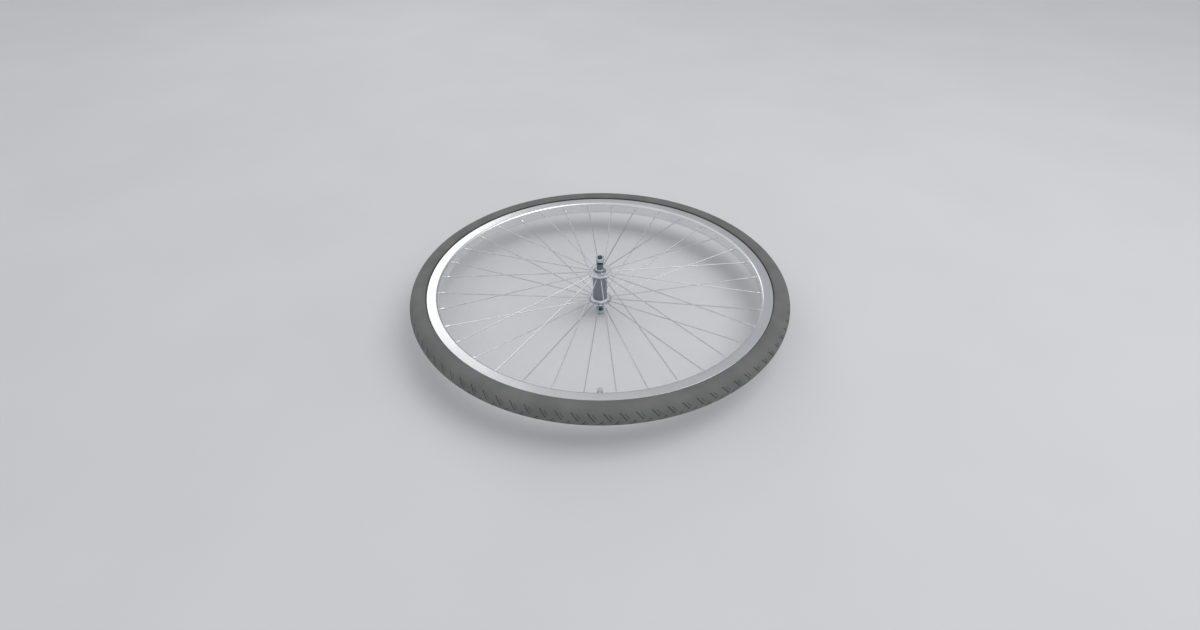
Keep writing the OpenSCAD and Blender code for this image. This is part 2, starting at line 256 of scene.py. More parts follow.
# %% The finishes
def make_rubber():
    material, _ = shader("tyre_rubber", 0.0, 0.62, specular=0.35)
    two_tone(material, noise(material, 26, 5), (0.140, 0.140, 0.138), (0.172, 0.171, 0.166))
    vary_roughness(material, noise(material, 90, 4), 0.55, 0.72)
    raise_surface(material, noise(material, 1800, 3), 0.00010, 0.35)
    # painted shade: the rubber is darkened in a narrow band just outside the rim's edge, where it rolls under the lip
    paint_shade_inside(material, (reach("rim") + 0.5) * MM, (reach("rim") + 2.4) * MM)
    return material


def make_polished_rim():
    material, _ = shader("polished_alloy", 1.0, 0.24)
    two_tone(material, noise(material, 14, 4), (0.80, 0.81, 0.825), (0.87, 0.875, 0.885))
    vary_roughness(material, noise(material, 60, 5), 0.19, 0.29)
    raise_surface(material, rings(material, 0.0009), 0.000012, 0.4)
    return material


def make_turned_hub():
    material, _ = shader("turned_alloy", 1.0, 0.42)
    two_tone(material, noise(material, 120, 4), (0.74, 0.76, 0.79), (0.85, 0.865, 0.885))
    vary_roughness(material, noise(material, 400, 4), 0.38, 0.50)
    raise_surface(material, rings(material, 0.0006), 0.00001, 0.4)
    return material


def make_satin_barrel():
    material, _ = shader("satin_barrel", 1.0, 0.36)
    two_tone(material, noise(material, 420, 3), (0.255, 0.275, 0.305), (0.285, 0.305, 0.335))
    vary_roughness(material, noise(material, 500, 4), 0.30, 0.44)
    raise_surface(material, rings(material, 0.0006), 0.00001, 0.4)
    return material


def make_drawn_steel():
    material, _ = shader("drawn_steel", 1.0, 0.22)
    two_tone(material, noise(material, 60, 3), (0.60, 0.62, 0.65), (0.70, 0.715, 0.74))
    vary_roughness(material, noise(material, 900, 3), 0.16, 0.30)
    return material


def make_plated_nipple():
    material, _ = shader("nickel_plate", 1.0, 0.2)
    two_tone(material, noise(material, 500, 3), (0.79, 0.795, 0.805), (0.87, 0.875, 0.88))
    vary_roughness(material, noise(material, 1500, 3), 0.14, 0.28)
    return material


def make_zinc():
    material, _ = shader("zinc_plate", 1.0, 0.36)
    two_tone(material, noise(material, 260, 5), (0.50, 0.60, 0.65), (0.66, 0.75, 0.79))
    vary_roughness(material, noise(material, 900, 4), 0.28, 0.46)
    raise_surface(material, noise(material, 3000, 2), 0.00002, 0.3)
    return material


def make_dark_zinc():
    material, _ = shader("dark_zinc", 1.0, 0.38)
    two_tone(material, noise(material, 260, 5), (0.15, 0.20, 0.22), (0.19, 0.245, 0.27))
    vary_roughness(material, noise(material, 900, 4), 0.30, 0.48)
    return material


def make_axle_steel():
    material, _ = shader("dark_axle_steel", 1.0, 0.4)
    two_tone(material, noise(material, 300, 4), (0.085, 0.10, 0.115), (0.14, 0.155, 0.175))
    vary_roughness(material, noise(material, 1200, 3), 0.32, 0.48)
    return material


def make_bearing_steel():
    material, _ = shader("ground_steel", 1.0, 0.16)
    two_tone(material, noise(material, 300, 3), (0.62, 0.63, 0.65), (0.72, 0.73, 0.75))
    vary_roughness(material, rings(material, 0.0004), 0.12, 0.24)
    return material


def make_pressed_cap():
    material, _ = shader("pressed_steel", 1.0, 0.3)
    two_tone(material, noise(material, 350, 4), (0.42, 0.43, 0.45), (0.54, 0.55, 0.57))
    vary_roughness(material, rings(material, 0.0005), 0.24, 0.38)
    return material


def make_brass():
    """Brass under thin nickel plate, which is warmer than the bare steel round it."""
    material, _ = shader("plated_brass", 1.0, 0.3)
    two_tone(material, noise(material, 500, 4), (0.66, 0.635, 0.58), (0.76, 0.74, 0.69))
    vary_roughness(material, noise(material, 1500, 3), 0.24, 0.42)
    return material


def make_cap_plastic():
    material, _ = shader("cap_plastic", 0.0, 0.45)
    two_tone(material, noise(material, 400, 4), (0.46, 0.465, 0.475), (0.54, 0.545, 0.555))
    raise_surface(material, noise(material, 4000, 2), 0.00003, 0.4)
    return material


def make_tube_rubber():
    material, _ = shader("tube_rubber", 0.0, 0.5)
    two_tone(material, noise(material, 40, 4), (0.016, 0.016, 0.017), (0.028, 0.028, 0.030))
    raise_surface(material, noise(material, 700, 3), 0.0001, 0.4)
    return material


def make_tape_cloth():
    material, _ = shader("rim_tape_cloth", 0.0, 0.85)
    two_tone(material, noise(material, 80, 4), (0.52, 0.44, 0.32), (0.64, 0.56, 0.43))
    raise_surface(material, noise(material, 2500, 2, (1, 1, 0.25)), 0.0001, 0.6)
    return material


rubber = make_rubber()
polished = make_polished_rim()
turned = make_turned_hub()
satin = make_satin_barrel()
drawn = make_drawn_steel()
nickel = make_plated_nipple()
zinc = make_zinc()
dark_zinc = make_dark_zinc()
axle_steel = make_axle_steel()
ground = make_bearing_steel()
pressed = make_pressed_cap()
brass = make_brass()
plastic = make_cap_plastic()
print("finishes:", len(bpy.data.materials))

# %% [markdown]
# ## Turning
# Nearly every piece of a wheel is turned on a lathe or rolled, so nearly every piece here starts as an outline:
# edges through a few points, given as distance from the axis, height, and the radius of the fillet at that
# corner. Bevel rounds a corner of a bare outline, and spin carries the outline once round the axle.


# %% Helpers for turned pieces
def outline(bm, points, closed=True):
    """Draws edges through (distance from the axis, height, fillet) points, in millimetres."""
    verts = [bm.verts.new((point[0] * MM, 0, point[1] * MM)) for point in points]
    ends = verts[1:] + verts[:1] if closed else verts[1:]
    for a, b in zip(verts, ends):
        bm.edges.new((a, b))
    for vert, point in zip(verts, points):
        if len(point) == 3:
            bmesh.ops.bevel(bm, geom=[vert], offset=point[2] * MM, offset_type="OFFSET", segments=4,
                            profile=0.5, affect="VERTICES", material=-1)
    return verts


def turn(bm, steps, first=0.0):
    """Spins everything drawn so far once round the axle, from this angle."""
    bmesh.ops.rotate(bm, verts=bm.verts, cent=(0, 0, 0), matrix=Matrix.Rotation(first, 3, "Z"))
    bmesh.ops.spin(bm, geom=bm.verts[:] + bm.edges[:], cent=(0, 0, 0), axis=(0, 0, 1),
                   angle=tau, steps=steps, use_merge=True)
    bmesh.ops.remove_doubles(bm, verts=bm.verts, dist=1e-7)


def mirrored(points):
    """A half outline above the middle plane, and the same below it in the other order."""
    below = [(point[0], -point[1], *point[2:]) for point in reversed(points)]
    return points + below


def finished_mesh(bm, name, sharp=32):
    """Closes a bmesh as a mesh with its normals outwards and its sharp edges marked."""
    bmesh.ops.remove_doubles(bm, verts=bm.verts, dist=1e-7)
    bmesh.ops.recalc_face_normals(bm, faces=bm.faces)
    open_edges = sum(1 for edge in bm.edges if len(edge.link_faces) != 2)
    mesh = bpy.data.meshes.new(name)
    bm.to_mesh(mesh)
    bm.free()
    mesh.shade_smooth()
    mesh.set_sharp_from_angle(angle=radians(sharp))
    print(f"{name}: {len(mesh.polygons)} faces, {open_edges} open edges")
    return mesh


def add_piece(mesh, material, body, slot, *nodes):
    """Makes a mesh a piece that rides on a body and stands for CAD nodes."""
    piece = bpy.data.objects.new(mesh.name, mesh)
    mesh.materials.append(material)
    bpy.context.scene.collection.objects.link(piece)
    even = piece.modifiers.new("even_shading", "WEIGHTED_NORMAL")
    even.keep_sharp = True
    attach(piece, body)
    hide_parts(*nodes)
    return piece


# %% [markdown]
# ## Holes
# A drilled hole could be a boolean, but that leaves long thin triangles that spoil the shine round it. Here the
# few faces round the hole are taken out, and a circle is bridged to the edge that they leave. A second circle on
# the other side of the wall is bridged to the first, and becomes the wall of the hole.


# %% Helpers for holes
def open_hole(bm, layer, centre, axis, diameter, opening, sides=20):
    """Takes out a layer's faces near a point, and bridges their edge to a circle. All sizes are in millimetres."""
    centre = Vector(centre) * MM
    near = {face for face in layer if face.is_valid and (face.calc_center_median() - centre).length < opening * MM}
    rim_edges = [edge for face in near for edge in face.edges
                 if sum(other in near for other in edge.link_faces) == 1]
    bmesh.ops.delete(bm, geom=list(near), context="FACES")
    circle = hole_circle(bm, centre, axis, diameter, sides)
    bmesh.ops.bridge_loops(bm, edges=rim_edges + circle)
    return circle


def hole_circle(bm, centre, axis, diameter, sides=20):
    """A circle of edges round a point in metres."""
    place = Matrix.Translation(centre) @ Vector(axis).to_track_quat("Z", "Y").to_matrix().to_4x4()
    verts = bmesh.ops.create_circle(bm, segments=sides, radius=diameter / 2 * MM, matrix=place)["verts"]
    return list({edge for vert in verts for edge in vert.link_edges})


def round_about(radius, angle, height):
    """A point at this distance and angle from the axis."""
    return Vector((radius * cos(angle), radius * sin(angle), height))


# %% [markdown]
# ## Where the spokes are
# Thirty-six spokes run straight out from the hub, every other one from the upper flange. The valve stands midway
# between the first and the last of them, at the near side. The lean of a spoke follows from the two places that
# it joins: its bend under the flange, and the rim's spoke bed.

# %% Spoke places
SPOKES = 36
FIRST_SPOKE = radians(-85)
VALVE_ANGLE = radians(-90)
SPOKE_D = 2.0
BEND_R = 2.0
HOLE_CIRCLE_R = 19.0
FLANGE_T = 2.6

rim_r = reach("rim")
rim_half_w = top("rim")
rim_h = 20.0
bed_r = rim_r - rim_h
flange_face = top("hub_shell")
flange_r = reach("hub_shell")
bend_z = flange_face - FLANGE_T - 0.2
bend_x = HOLE_CIRCLE_R + BEND_R
bend_to_rim = sqrt((bed_r - bend_x) ** 2 + bend_z ** 2)
spoke_lean = atan2(bend_z, bed_r - bend_x) - asin(BEND_R / bend_to_rim)
spoke_straight = sqrt(bend_to_rim ** 2 - BEND_R ** 2)


def spoke_angle(i):
    return FIRST_SPOKE + i * tau / SPOKES


def side_of(i):
    """1 for a spoke from the upper flange, and -1 for one from the lower."""
    return 1 if i % 2 == 0 else -1


print(f"spokes lean {degrees(spoke_lean):.2f} degrees and are {spoke_straight:.1f} mm from bend to rim")

# %% [markdown]
# ## Rim
# The rim is one extruded section rolled into a hoop: two flat braking walls, a rounded spoke bed on the inside, a
# channel for the tyre on the outside, and a closed hollow between them. Both outlines are drawn at once and spun
# together. The holes then join the outer skin to the hollow, so the whole rim is one closed surface.

# %% Rim
BED_T = 1.6
WALL_T = 1.4
LIP_H = 6.0
LIP_T = 2.5
HOOK = 0.6
NIPPLE_HOLE_D = 4.4
KEY_HOLE_D = 7.2
VALVE_HOLE_D = 8.5
RIM_STEPS = 288
seat_r = rim_r - LIP_H
well_r = seat_r - 4.0
bridge_r = well_r - WALL_T
channel_w = rim_half_w - LIP_T


def rim_mesh():
    bm = bmesh.new()
    outline(bm, mirrored([
        (bed_r, 5.4), (bed_r, rim_half_w - 1, 4.2), (rim_r, rim_half_w, 0.6), (rim_r, channel_w - HOOK, 0.6),
        (rim_r - 1.2, channel_w - HOOK), (rim_r - 1.8, channel_w), (seat_r, channel_w, 0.5),
        (seat_r, 7.5, 0.8), (well_r, 6, 0.8), (well_r, 4.9)]))
    outline(bm, mirrored([
        (bed_r + BED_T, 5.4), (bed_r + BED_T, 7), (bed_r + 4.2, 10.4), (seat_r - 1.8, 11),
        (seat_r - 1.8, 8.9), (bridge_r, 7.4, 0.8), (bridge_r, 4.9)]))
    turn(bm, RIM_STEPS, tau / RIM_STEPS / 2)
    layers = {}
    for radius in (bed_r, bed_r + BED_T, bridge_r, well_r):
        layers[radius] = [face for face in bm.faces
                          if abs(face.calc_center_median().xy.length / MM - radius) < 0.1
                          and abs(face.calc_center_median().z / MM) < 1]
    for i in range(SPOKES):
        angle = spoke_angle(i)
        for inner, outer, diameter, opening in (
                (bed_r, bed_r + BED_T, NIPPLE_HOLE_D, 2), (bridge_r, well_r, KEY_HOLE_D, 8)):
            circles = []
            for radius in (inner, outer):
                centre = round_about(radius, angle, -side_of(i) * (radius - bed_r) * tan(spoke_lean))
                circles += open_hole(bm, layers[radius], centre, round_about(1, angle, 0), diameter, opening)
            bmesh.ops.bridge_loops(bm, edges=circles)
    for inner, outer in ((bed_r, bed_r + BED_T), (bridge_r, well_r)):
        circles = []
        for radius in (inner, outer):
            centre = round_about(radius, VALVE_ANGLE, 0)
            circles += open_hole(bm, layers[radius], centre, round_about(1, VALVE_ANGLE, 0), VALVE_HOLE_D, 8)
        bmesh.ops.bridge_loops(bm, edges=circles)
    return finished_mesh(bm, "rim_hoop")


add_piece(rim_mesh(), polished, "wheel", "rim_metal", "rim")

# %% [markdown]
# ## Tyre
# The tyre is round where it is blown up, and its two beads go down into the rim's channel. Its tread repeats every
# four degrees, so only one such slice is modelled: the section is spun through four degrees in columns that are as
# wide as a lug, a groove or a sipe. The columns are then sheared across the tread, which slants the grooves, and
# each groove is an inset pushed into the rubber. Ninety copies of the slice close the ring. Its colour has painted
# shade where the rubber rolls under the rim's edge.

# %% Tyre section
LUGS = 90
PITCH = tau / LUGS
GROOVE_SLANT = radians(38)
SLANT_TO = radians(60)
TREAD_T = 3.6
SIDEWALL_T = 2.2
GROOVE_DEPTH = 1.5
SIPE_DEPTH = 1.0
COLUMN_EDGES = (0, 0.42, 0.90, 1.50, 1.74, 2.42, 2.90, 3.50, 3.74, 4.0)
tyre_r = reach("tyre")
section_r = top("tyre")
section_at = tyre_r - section_r
cavity_r = section_r - SIDEWALL_T
cavity_at = tyre_r - TREAD_T - cavity_r


def arc(bm, middle, radius, latitude, steps):
    """An arc round the tyre's section, from this latitude down to the same one below the crown."""
    start = bm.verts.new(((middle + radius * cos(latitude)) * MM, 0, radius * sin(latitude) * MM))
    bmesh.ops.spin(bm, geom=[start], cent=(middle * MM, 0, 0), axis=(0, 1, 0), angle=2 * latitude, steps=steps)


def latitude_of(co):
    """How far a point lies round the section from the crown, in radians."""
    return atan2(co.z, co.xy.length - section_at * MM)


def tyre_section(bm):
    """The closed outline of the tyre's wall."""
    outer_end = radians(126)
    cavity_end = radians(105)
    neck_w = channel_w - HOOK - 0.1
    arc(bm, section_at, section_r, outer_end, 42)
    arc(bm, cavity_at, cavity_r, cavity_end, 14)
    for side in (1, -1):
        outline(bm, [
            (section_at + section_r * cos(outer_end), side * section_r * sin(outer_end)),
            (rim_r + 0.7, side * 14.0), (rim_r + 0.4, side * 13.3), (rim_r + 0.5, side * (neck_w + 1)),
            (rim_r, side * neck_w), (rim_r - 2.1, side * neck_w), (rim_r - 2.2, side * (neck_w + 0.6)),
            (seat_r + 0.5, side * (neck_w + 0.6)), (seat_r + 0.1, side * neck_w), (seat_r + 0.1, side * 7.3),
            (seat_r + 0.5, side * 6.9), (rim_r - 1, side * 6.9), (rim_r + 2.5, side * 11.5),
            (cavity_at + cavity_r * cos(cavity_end), side * cavity_r * sin(cavity_end))], closed=False)
    bmesh.ops.remove_doubles(bm, verts=bm.verts, dist=1e-6)
    print("tyre section:", len(bm.verts), "points")


# %% Tyre
def tread_faces(bm, column, lowest, highest):
    """The outer faces of one column between two latitudes, in degrees, before the columns are sheared."""
    step = PITCH / (len(COLUMN_EDGES) - 1)
    found = []
    for face in bm.faces:
        middle = face.calc_center_median()
        on_skin = (Vector((middle.xy.length - section_at * MM, middle.z))).length > (section_r - 1) * MM
        if on_skin and int(atan2(middle.y, middle.x) / step) == column:
            if lowest < degrees(latitude_of(middle)) < highest:
                found.append(face)
    return found


def tyre_mesh():
    bm = bmesh.new()
    tyre_section(bm)
    columns = len(COLUMN_EDGES) - 1
    bmesh.ops.spin(bm, geom=bm.verts[:] + bm.edges[:], cent=(0, 0, 0), axis=(0, 0, 1), angle=PITCH, steps=columns)
    grooves = [tread_faces(bm, 1, 0, 42), tread_faces(bm, 5, -42, 0)]
    sipes = [tread_faces(bm, 3, 12, 36), tread_faces(bm, 7, -36, -12)]
    for vert in bm.verts:
        column = round(atan2(vert.co.y, vert.co.x) / PITCH * columns)
        across = min(abs(latitude_of(vert.co)), SLANT_TO) * section_r * tan(GROOVE_SLANT)
        angle = radians(COLUMN_EDGES[column]) - across / tyre_r
        vert.co = round_about(vert.co.xy.length, angle, vert.co.z)
    bmesh.ops.recalc_face_normals(bm, faces=bm.faces)
    for faces in grooves:
        bmesh.ops.inset_region(bm, faces=faces, thickness=0.4 * MM, depth=-GROOVE_DEPTH * MM,
                               use_even_offset=True)
    for faces in sipes:
        bmesh.ops.inset_region(bm, faces=faces, thickness=0.25 * MM, depth=-SIPE_DEPTH * MM,
                               use_even_offset=True)
    bmesh.ops.spin(bm, geom=bm.verts[:] + bm.edges[:] + bm.faces[:], cent=(0, 0, 0), axis=(0, 0, 1),
                   angle=tau - PITCH, steps=LUGS - 1, use_duplicate=True)
    bmesh.ops.remove_doubles(bm, verts=bm.verts, dist=2e-6)
    return finished_mesh(bm, "tyre_casing", sharp=28)


add_piece(tyre_mesh(), rubber, "wheel", "tyre_rubber", "tyre")

# %% [markdown]
# ## Hub shell
# The shell is a turned tube with a flange near each end. A small turned line runs round it beside each flange, and
# a recess in each face holds the dust cap. Its eighteen holes in each flange have a light countersink where the
# bend of a spoke sits. The barrel between the flanges is brushed to a darker satin.

# %% Hub shell
CUP_R = 12.0
SHELL_R = 13.2
SHELL_FILLET = 2.8
SHELL_STEPS = 144
SPOKE_HOLE_D = 2.4
cap_seat_z = floor_of("dust_cap_top")
cup_seat_z = floor_of("cup_top")


def hub_shell_mesh():
    inner_face = flange_face - FLANGE_T
    bm = bmesh.new()
    outside = [
        (SHELL_R, 24.6), (SHELL_R - 0.35, 24.9), (SHELL_R - 0.35, 25.6), (SHELL_R, 25.9),
        (SHELL_R, inner_face, SHELL_FILLET), (16.6, inner_face), (21.4, inner_face), (flange_r, inner_face, 0.5),
        (flange_r, flange_face, 0.5), (21.4, flange_face), (16.6, flange_face), (CUP_R, flange_face, 0.5),
        (CUP_R, cup_seat_z), (CUP_R - 1.4, cup_seat_z)]
    below = [(point[0], -point[1], *point[2:]) for point in reversed(outside)]
    outline(bm, outside + below)
    turn(bm, SHELL_STEPS)
    for i in range(SPOKES):
        side = side_of(i)
        circles = []
        for height, deeper in ((flange_face, -0.3), (inner_face, 0.3)):
            layer = [face for face in bm.faces
                     if abs(face.calc_center_median().z / MM - side * height) < 0.05
                     and abs(face.calc_center_median().xy.length / MM - HOLE_CIRCLE_R) < 0.3]
            centre = round_about(HOLE_CIRCLE_R, spoke_angle(i), side * height)
            edge = open_hole(bm, layer, centre, (0, 0, 1), SPOKE_HOLE_D + 0.6, 1.5, 16)
            sunk = Vector((centre.x, centre.y, centre.z + side * deeper)) * MM
            wall = hole_circle(bm, sunk, (0, 0, 1), SPOKE_HOLE_D, 16)
            bmesh.ops.bridge_loops(bm, edges=edge + wall)
            circles += wall
        bmesh.ops.bridge_loops(bm, edges=circles)
    return finished_mesh(bm, "hub_barrel")


hub = hub_shell_mesh()
add_piece(hub, turned, "wheel", "hub_metal", "hub_shell")
hub.materials.append(satin)
for face in hub.polygons:
    on_barrel = SHELL_R - 0.5 < face.center.xy.length / MM < SHELL_R + 0.1
    if on_barrel and abs(face.center.z) / MM < flange_face - FLANGE_T - SHELL_FILLET:
        face.material_index = 1

# %% [markdown]
# ## Spokes
# A spoke is drawn wire with a head at one end, a bend just under it, and a thread at the other end. It starts as
# a circle in the flange's hole. The circle is extruded down to the bend, spun round the bend's centre, and
# extruded straight into its nipple. One spoke is made and then copied, and a half turn about its own direction
# gives the ones below.

# %% Helpers for rings of edges
def ring(bm, radius, height, sides):
    """A circle of edges at a height above the origin, in millimetres."""
    return hole_circle(bm, Vector((0, 0, height * MM)), (0, 0, 1), 2 * radius, sides)


def verts_of(edges):
    return list({vert for edge in edges for vert in edge.verts})


def extend(bm, edges, move=(0, 0, 0), size=1.0, centre=(0, 0, 0)):
    """Extrudes a ring of edges, then moves it, in millimetres, and scales it about a point."""
    made = bmesh.ops.extrude_edge_only(bm, edges=edges)["geom"]
    verts = [item for item in made if isinstance(item, bmesh.types.BMVert)]
    bmesh.ops.translate(bm, verts=verts, vec=Vector(move) * MM)
    if size != 1.0:
        space = Matrix.Translation(-Vector(centre) * MM)
        bmesh.ops.scale(bm, verts=verts, vec=(size, size, size), space=space)
    return [item for item in made if isinstance(item, bmesh.types.BMEdge)]


def close_ring(bm, edges):
    """Fills a ring with one flat face."""
    bmesh.ops.contextual_create(bm, geom=edges)


# %% Spokes
SPOKE_SIDES = 14
HEAD_D = 3.8
NIPPLE_L = 10.0
spoke_head_z = top("spoke_01")


def spoke_mesh():
    bm = bmesh.new()
    start = (HOLE_CIRCLE_R, 0, flange_face)
    neck = ring(bm, SPOKE_D / 2, flange_face, SPOKE_SIDES)
    bmesh.ops.translate(bm, verts=verts_of(neck), vec=Vector((HOLE_CIRCLE_R, 0, 0)) * MM)
    edges = extend(bm, neck, size=HEAD_D / SPOKE_D, centre=start)
    head_h = spoke_head_z - flange_face
    height = flange_face
    for rise, size in ((0.25, 1.0), (0.35, 0.9), (0.25, 0.8), (0.15, 0.55)):
        height += rise * head_h
        edges = extend(bm, edges, (0, 0, rise * head_h), size, (HOLE_CIRCLE_R, 0, height))
    close_ring(bm, edges)
    edges = extend(bm, neck, (0, 0, bend_z - flange_face))
    made = bmesh.ops.spin(bm, geom=edges, cent=(bend_x * MM, 0, bend_z * MM), axis=(0, -1, 0),
                          angle=pi / 2 - spoke_lean, steps=8)["geom_last"]
    edges = [item for item in made if isinstance(item, bmesh.types.BMEdge)]
    along = Vector((cos(spoke_lean), 0, -sin(spoke_lean)))
    edges = extend(bm, edges, along * (spoke_straight - NIPPLE_L - 2))
    edges = extend(bm, edges, along * (NIPPLE_L + 4))
    close_ring(bm, edges)
    return finished_mesh(bm, "spoke_pattern")


pattern = spoke_mesh()
for i in range(SPOKES):
    mesh = pattern.copy()
    mesh.name = f"steel_spoke_{i + 1:02d}"
    half_turn = Matrix.Rotation(0 if side_of(i) == 1 else pi, 4, "X")
    mesh.transform(Matrix.Rotation(spoke_angle(i), 4, "Z") @ half_turn)
    add_piece(mesh, drawn, "wheel", "spoke_steel", f"spoke_{i + 1:02d}")
bpy.data.meshes.remove(pattern)

# %% [markdown]
# ## Nipples
# A nipple is a small turned nut with a round body, four flats for the spoke key, and a head with a slot inside the
# rim. The flats are made by holding the points of a turned body inside a square.

# %% Nipples
NIPPLE_R = 2.0
FLATS_HALF_W = 1.65
HEAD_R = 2.9
nipple_seat = BED_T / cos(spoke_lean) + HEAD_R * tan(spoke_lean) + 0.02


def nipple_mesh():
    bm = bmesh.new()
    head_end = nipple_seat + 1.8
    bore_r = SPOKE_D / 2 + 0.02
    outline(bm, [
        (bore_r, -NIPPLE_L), (1.5, -NIPPLE_L), (NIPPLE_R, 0.45 - NIPPLE_L), (NIPPLE_R, -2.7), (NIPPLE_R, -2.4),
        (NIPPLE_R, nipple_seat, 0.15), (HEAD_R, nipple_seat, 0.15), (HEAD_R, nipple_seat + 1),
        (2.2, head_end), (bore_r, head_end)])
    turn(bm, 32)
    for vert in bm.verts:
        if vert.co.z < -2.6 * MM:
            vert.co.x = max(-FLATS_HALF_W * MM, min(FLATS_HALF_W * MM, vert.co.x))
            vert.co.y = max(-FLATS_HALF_W * MM, min(FLATS_HALF_W * MM, vert.co.y))
        if vert.co.z > (head_end - 0.1) * MM and abs(vert.co.y) < 0.45 * MM:
            vert.co.z -= 0.7 * MM
    return finished_mesh(bm, "nipple_pattern")


def nipples_mesh():
    pattern = nipple_mesh()
    bm = bmesh.new()
    for i in range(SPOKES):
        first = len(bm.verts)
        bm.from_mesh(pattern)
        bm.verts.ensure_lookup_table()
        half_turn = Matrix.Rotation(0 if side_of(i) == 1 else pi, 4, "X")
        place = (Matrix.Rotation(spoke_angle(i), 4, "Z") @ half_turn @ Matrix.Translation((bed_r * MM, 0, 0))
                 @ Matrix.Rotation(pi / 2 + spoke_lean, 4, "Y"))
        bmesh.ops.transform(bm, matrix=place, verts=bm.verts[first:])
    bpy.data.meshes.remove(pattern)
    return finished_mesh(bm, "spoke_nipples")


add_piece(nipples_mesh(), nickel, "wheel", "nipple_metal", "nipples")

# %% [markdown]
# ## Axle
# The axle is a rod with a fine thread over its whole length and a plain tip at each end. A thread is one tooth's
# outline spun many times round while it climbs one pitch a turn. Two planes cut it to length, and the tips are
# bridged to the cut ends. A small centre hole in each tip is left from the lathe.


# %% Helper for threads
def thread(bm, radius, pitch, depth, low, high, sides=28):
    """A screw thread between two heights, cut flat and open at both ends. Returns its two end rings."""
    turns = ceil((high - low) / pitch) + 2
    start = low - pitch
    tooth = [(radius - depth, start), (radius, start + pitch * 0.4), (radius, start + pitch * 0.55),
             (radius - depth, start + pitch * 0.95), (radius - depth, start + pitch)]
    verts = outline(bm, tooth, closed=False)
    edges = list({edge for vert in verts for edge in vert.link_edges})
    bmesh.ops.spin(bm, geom=verts + edges, cent=(0, 0, 0), axis=(0, 0, 1), dvec=(0, 0, pitch / sides * MM),
                   angle=tau * turns, steps=sides * turns)
    bmesh.ops.remove_doubles(bm, verts=bm.verts, dist=1e-6)
    rings_made = []
    for height, side in ((low, -1), (high, 1)):
        cut = bmesh.ops.bisect_plane(bm, geom=bm.verts[:] + bm.edges[:] + bm.faces[:], dist=1e-7,
                                     plane_co=(0, 0, height * MM), plane_no=(0, 0, side), clear_outer=True)
        rings_made.append([item for item in cut["geom_cut"] if isinstance(item, bmesh.types.BMEdge)])
    return rings_made


# %% Axle
AXLE_R = 4.5
TIP_R = 3.8
TIP_L = 2.7
axle_end = top("axle")


def axle_mesh():
    bm = bmesh.new()
    shoulder = axle_end - TIP_L
    ends = thread(bm, AXLE_R, 1.0, 0.6, -shoulder, shoulder)
    for side, cut in zip((-1, 1), ends):
        edges = ring(bm, TIP_R, side * shoulder, 32)
        bmesh.ops.bridge_loops(bm, edges=cut + edges)
        edges = extend(bm, edges, (0, 0, side * (TIP_L - 0.4)))
        edges = extend(bm, edges, (0, 0, side * 0.4), 1 - 0.4 / TIP_R, (0, 0, side * axle_end))
        edges = extend(bm, edges, size=0.36, centre=(0, 0, side * axle_end))
        edges = extend(bm, edges, (0, 0, -side * 0.9), 0.12, (0, 0, side * (axle_end - 0.9)))
        close_ring(bm, edges)
    return finished_mesh(bm, "threaded_axle")


add_piece(axle_mesh(), axle_steel, "axle", "axle_steel", "axle")

# %% [markdown]
# ## Nuts, washers and spacers
# A hexagonal nut is a round blank whose side is pressed out to six flats. The corners of its faces are turned off
# at an angle, so each flat ends in a curve. Here a circle is extruded to the hexagon, and each point is then let
# down by how far it lies outside the circle of the face. Each part below lies on the upper side, and is
# mirrored for the lower one.


# %% Helpers for nuts
def lower_copy(mesh, name):
    """The same mesh under the middle plane, turned over about the X axis."""
    copy = mesh.copy()
    copy.name = name
    copy.transform(Matrix.Rotation(pi, 4, "X"))
    return copy


def hexagon(angle, across_flats):
    """Distance from the middle of a hexagon to its side in this direction."""
    sector = tau / 6
    off_middle = (angle + sector / 2) % sector - sector / 2
    return across_flats / 2 / cos(off_middle)


def hex_nut_mesh(name, across_flats, bore_r, low, high, sides=72):
    bm = bmesh.new()
    face_r = across_flats / 2 * 0.97
    outline(bm, [
        (bore_r, low + 0.35), (bore_r + 0.35, low), (face_r, low), (face_r + 1, low + 0.5),
        (face_r + 1, high - 0.5), (face_r, high), (bore_r + 0.35, high), (bore_r, high - 0.35)])
    turn(bm, sides)
    middle = (low + high) / 2
    for vert in bm.verts:
        if vert.co.xy.length > (face_r + 0.5) * MM:
            angle = atan2(vert.co.y, vert.co.x)
            radius = hexagon(angle, across_flats)
            side = 1 if vert.co.z > middle * MM else -1
            drop = (radius - face_r) * tan(radians(28))
            end = high if side == 1 else low
            vert.co = round_about(radius, angle, end - side * drop) * MM
    return finished_mesh(bm, name, sharp=18)


# %% Nuts, washers and spacers
LOCKNUT_AF = 13.0
AXLE_NUT_AF = 15.0
AXLE_NUT_T = 5.7
WASHER_T = 1.3
WASHER_R = 8.1
SPACER_R = 6.2
BORE_R = AXLE_R + 0.02
cone_end_z = top("cone_top")
locknut_low = floor_of("locknut_top")
locknut_high = top("locknut_top")
nut_high = top("axle_nuts")
washer_high = nut_high - AXLE_NUT_T
washer_low = washer_high - WASHER_T

locknut = hex_nut_mesh("locknut_upper", LOCKNUT_AF, BORE_R, locknut_low, locknut_high)
add_piece(lower_copy(locknut, "locknut_lower"), dark_zinc, "axle", "zinc_steel", "locknut_bottom")
add_piece(locknut, dark_zinc, "axle", "zinc_steel", "locknut_top")


def spacer_mesh():
    bm = bmesh.new()
    outline(bm, [
        (BORE_R, cone_end_z), (SPACER_R, cone_end_z, 0.3), (SPACER_R, locknut_low, 0.3), (BORE_R, locknut_low)])
    turn(bm, 72)
    return finished_mesh(bm, "spacer_upper")


spacer = spacer_mesh()
add_piece(lower_copy(spacer, "spacer_lower"), dark_zinc, "axle", "zinc_steel", "spacer_bottom")
add_piece(spacer, dark_zinc, "axle", "zinc_steel", "spacer_top")


